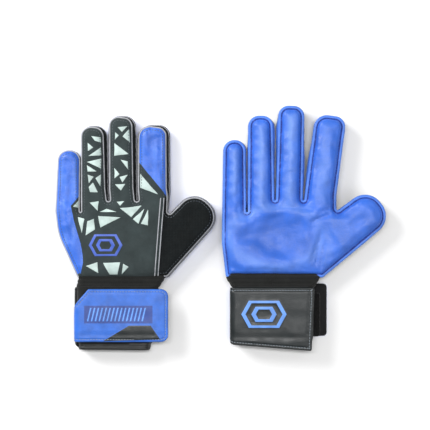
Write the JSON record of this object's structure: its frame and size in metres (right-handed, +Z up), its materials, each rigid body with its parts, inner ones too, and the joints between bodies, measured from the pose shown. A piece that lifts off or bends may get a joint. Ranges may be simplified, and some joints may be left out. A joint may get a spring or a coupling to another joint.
{
  "type": "pair of goalkeeper gloves",
  "caption": "Pair of padded goalkeeper gloves with latex palms, jointed finger stalls, closed cuffs and wrap-round wrist straps.",
  "frame": {"origin": "centre of the pair's footprint, on the surface that both gloves lie on", "axes": "+X from the left glove to the right glove, +Y from the cuffs to the fingertips, +Z up"},
  "size_m": [0.3664, 0.2711, 0.026],
  "materials": {
    "latex_blue": "matte foam",
    "backhand_grey": "printed knit",
    "gusset_black": "air mesh",
    "lining_black": "brushed knit",
    "thumb_black": "mesh",
    "cuff_black": "ribbed elastic",
    "strap_blue": "satin moulded",
    "strap_black": "satin",
    "loop_black": "brushed loop",
    "hook_black": "moulded hooks"
  },
  "bodies": {
    "left_hand": {"left_palm_panel": "latex_blue", "left_side_panel": "latex_blue", "left_back_panel": "backhand_grey", "left_hand_gusset": "gusset_black", "left_lining": "lining_black"},
    "left_cuff": {"left_cuff": "cuff_black", "left_strap_anchor": "strap_black", "left_loop_patch": "loop_black"},
    "left_strap": {"left_strap": "strap_blue", "left_hook_patch": "hook_black"},
    "left_thumb_base": {"left_thumb_base_palm": "latex_blue", "left_thumb_base_back": "thumb_black"},
    "left_thumb_tip": {"left_thumb_tip_palm": "latex_blue", "left_thumb_tip_back": "thumb_black"},
    "left_index_base": {"left_index_base_palm": "latex_blue", "left_index_base_back": "latex_blue"},
    "left_index_tip": {"left_index_tip_palm": "latex_blue", "left_index_tip_back": "latex_blue"},
    "left_middle_base": {"left_middle_base_palm": "latex_blue", "left_middle_base_back": "backhand_grey"},
    "left_middle_tip": {"left_middle_tip_palm": "latex_blue", "left_middle_tip_back": "backhand_grey"},
    "left_ring_base": {"left_ring_base_palm": "latex_blue", "left_ring_base_back": "backhand_grey"},
    "left_ring_tip": {"left_ring_tip_palm": "latex_blue", "left_ring_tip_back": "backhand_grey"},
    "left_little_base": {"left_little_base_palm": "latex_blue", "left_little_base_back": "latex_blue"},
    "left_little_tip": {"left_little_tip_palm": "latex_blue", "left_little_tip_back": "latex_blue"},
    "right_hand": {"right_palm_panel": "latex_blue", "right_side_panel": "latex_blue", "right_back_panel": "backhand_grey", "right_hand_gusset": "gusset_black", "right_lining": "lining_black"},
    "right_cuff": {"right_cuff": "cuff_black", "right_strap_anchor": "strap_black", "right_loop_patch": "loop_black"},
    "right_strap": {"right_strap": "strap_black", "right_hook_patch": "hook_black"},
    "right_thumb_base": {"right_thumb_base_palm": "latex_blue", "right_thumb_base_back": "thumb_black"},
    "right_thumb_tip": {"right_thumb_tip_palm": "latex_blue", "right_thumb_tip_back": "thumb_black"},
    "right_index_base": {"right_index_base_palm": "latex_blue", "right_index_base_back": "latex_blue"},
    "right_index_tip": {"right_index_tip_palm": "latex_blue", "right_index_tip_back": "latex_blue"},
    "right_middle_base": {"right_middle_base_palm": "latex_blue", "right_middle_base_back": "backhand_grey"},
    "right_middle_tip": {"right_middle_tip_palm": "latex_blue", "right_middle_tip_back": "backhand_grey"},
    "right_ring_base": {"right_ring_base_palm": "latex_blue", "right_ring_base_back": "backhand_grey"},
    "right_ring_tip": {"right_ring_tip_palm": "latex_blue", "right_ring_tip_back": "backhand_grey"},
    "right_little_base": {"right_little_base_palm": "latex_blue", "right_little_base_back": "latex_blue"},
    "right_little_tip": {"right_little_tip_palm": "latex_blue", "right_little_tip_back": "latex_blue"}
  },
  "joints": [
    {"name": "left_wrist_bend", "type": "hinge", "parent": "left_hand", "child": "left_cuff", "pos_m": [-0.11595, -0.05668, 0.012], "axis": [1, 0, 0], "range_deg": [-30, 30], "stiffness_Nm_per_rad": 0.08},
    {"name": "left_strap_open", "type": "hinge", "parent": "left_cuff", "child": "left_strap", "pos_m": [-0.16395, -0.09688, 0.0224], "axis": [0, -1, 0], "range_deg": [0, 160]},
    {"name": "left_thumb_base_bend", "type": "hinge", "parent": "left_hand", "child": "left_thumb_base", "pos_m": [-0.0682, -0.01568, 0.0045], "axis": [0.1494, 0.9888, 0], "range_deg": [-5, 45], "stiffness_Nm_per_rad": 0.05},
    {"name": "left_thumb_tip_bend", "type": "hinge", "parent": "left_thumb_base", "child": "left_thumb_tip", "pos_m": [-0.03335, 0.00947, 0.0045], "axis": [-0.7193, 0.6947, 0], "range_deg": [-5, 45], "stiffness_Nm_per_rad": 0.03},
    {"name": "left_index_knuckle", "type": "hinge", "parent": "left_hand", "child": "left_index_base", "pos_m": [-0.07525, 0.03907, 0.0045], "axis": [-1, 0.0087, 0], "range_deg": [-10, 75], "stiffness_Nm_per_rad": 0.05},
    {"name": "left_index_tip_bend", "type": "hinge", "parent": "left_index_base", "child": "left_index_tip", "pos_m": [-0.07492, 0.07657, 0.0045], "axis": [-1, 0.0087, 0], "range_deg": [-5, 75], "stiffness_Nm_per_rad": 0.03},
    {"name": "left_middle_knuckle", "type": "hinge", "parent": "left_hand", "child": "left_middle_base", "pos_m": [-0.10945, 0.03907, 0.0045], "axis": [-0.9998, 0.0209, 0], "range_deg": [-10, 75], "stiffness_Nm_per_rad": 0.05},
    {"name": "left_middle_tip_bend", "type": "hinge", "parent": "left_middle_base", "child": "left_middle_tip", "pos_m": [-0.10856, 0.08156, 0.0045], "axis": [-0.9998, 0.0209, 0], "range_deg": [-5, 75], "stiffness_Nm_per_rad": 0.03},
    {"name": "left_ring_knuckle", "type": "hinge", "parent": "left_hand", "child": "left_ring_base", "pos_m": [-0.14085, 0.03907, 0.0045], "axis": [-0.9998, 0.0175, 0], "range_deg": [-10, 75], "stiffness_Nm_per_rad": 0.05},
    {"name": "left_ring_tip_bend", "type": "hinge", "parent": "left_ring_base", "child": "left_ring_tip", "pos_m": [-0.1402, 0.07606, 0.0045], "axis": [-0.9998, 0.0175, 0], "range_deg": [-5, 75], "stiffness_Nm_per_rad": 0.03},
    {"name": "left_little_knuckle", "type": "hinge", "parent": "left_hand", "child": "left_little_base", "pos_m": [-0.17025, 0.02707, 0.0045], "axis": [-0.9997, 0.0262, 0], "range_deg": [-10, 75], "stiffness_Nm_per_rad": 0.05},
    {"name": "left_little_tip_bend", "type": "hinge", "parent": "left_little_base", "child": "left_little_tip", "pos_m": [-0.16948, 0.05656, 0.0045], "axis": [-0.9997, 0.0262, 0], "range_deg": [-5, 75], "stiffness_Nm_per_rad": 0.03},
    {"name": "glove_lift", "type": "slide", "parent": "left_hand", "child": "right_hand", "axis": [0, 0, 1], "range_m": [0, 0.2]},
    {"name": "right_wrist_bend", "type": "hinge", "parent": "right_hand", "child": "right_cuff", "pos_m": [0.0567, -0.05668, 0.014], "axis": [-1, 0, 0], "range_deg": [-30, 30], "stiffness_Nm_per_rad": 0.08},
    {"name": "right_strap_open", "type": "hinge", "parent": "right_cuff", "child": "right_strap", "pos_m": [0.0087, -0.09688, 0.0036], "axis": [0, 1, 0], "range_deg": [0, 160]},
    {"name": "right_thumb_base_bend", "type": "hinge", "parent": "right_hand", "child": "right_thumb_base", "pos_m": [0.11625, -0.01568, 0.0215], "axis": [-0.1494, -0.9888, 0], "range_deg": [-5, 45], "stiffness_Nm_per_rad": 0.05},
    {"name": "right_thumb_tip_bend", "type": "hinge", "parent": "right_thumb_base", "child": "right_thumb_tip", "pos_m": [0.1547, 0.00887, 0.0215], "axis": [0.6157, -0.788, 0], "range_deg": [-5, 45], "stiffness_Nm_per_rad": 0.03},
    {"name": "right_index_knuckle", "type": "hinge", "parent": "right_hand", "child": "right_index_base", "pos_m": [0.1092, 0.03907, 0.0215], "axis": [0.9903, -0.1392, 0], "range_deg": [-10, 75], "stiffness_Nm_per_rad": 0.05},
    {"name": "right_index_tip_bend", "type": "hinge", "parent": "right_index_base", "child": "right_index_tip", "pos_m": [0.11518, 0.08165, 0.0215], "axis": [0.9903, -0.1392, 0], "range_deg": [-5, 75], "stiffness_Nm_per_rad": 0.03},
    {"name": "right_middle_knuckle", "type": "hinge", "parent": "right_hand", "child": "right_middle_base", "pos_m": [0.075, 0.03907, 0.0215], "axis": [0.9997, -0.0262, 0], "range_deg": [-10, 75], "stiffness_Nm_per_rad": 0.05},
    {"name": "right_middle_tip_bend", "type": "hinge", "parent": "right_middle_base", "child": "right_middle_tip", "pos_m": [0.07626, 0.08705, 0.0215], "axis": [0.9997, -0.0262, 0], "range_deg": [-5, 75], "stiffness_Nm_per_rad": 0.03},
    {"name": "right_ring_knuckle", "type": "hinge", "parent": "right_hand", "child": "right_ring_base", "pos_m": [0.0436, 0.03907, 0.0215], "axis": [1, -0.0035, 0], "range_deg": [-10, 75], "stiffness_Nm_per_rad": 0.05},
    {"name": "right_ring_tip_bend", "type": "hinge", "parent": "right_ring_base", "child": "right_ring_tip", "pos_m": [0.04375, 0.08157, 0.0215], "axis": [1, -0.0035, 0], "range_deg": [-5, 75], "stiffness_Nm_per_rad": 0.03},
    {"name": "right_little_knuckle", "type": "hinge", "parent": "right_hand", "child": "right_little_base", "pos_m": [0.0142, 0.02707, 0.0215], "axis": [1, 0, 0], "range_deg": [-10, 75], "stiffness_Nm_per_rad": 0.05},
    {"name": "right_little_tip_bend", "type": "hinge", "parent": "right_little_base", "child": "right_little_tip", "pos_m": [0.0142, 0.06207, 0.0215], "axis": [1, 0, 0], "range_deg": [-5, 75], "stiffness_Nm_per_rad": 0.03}
  ]
}
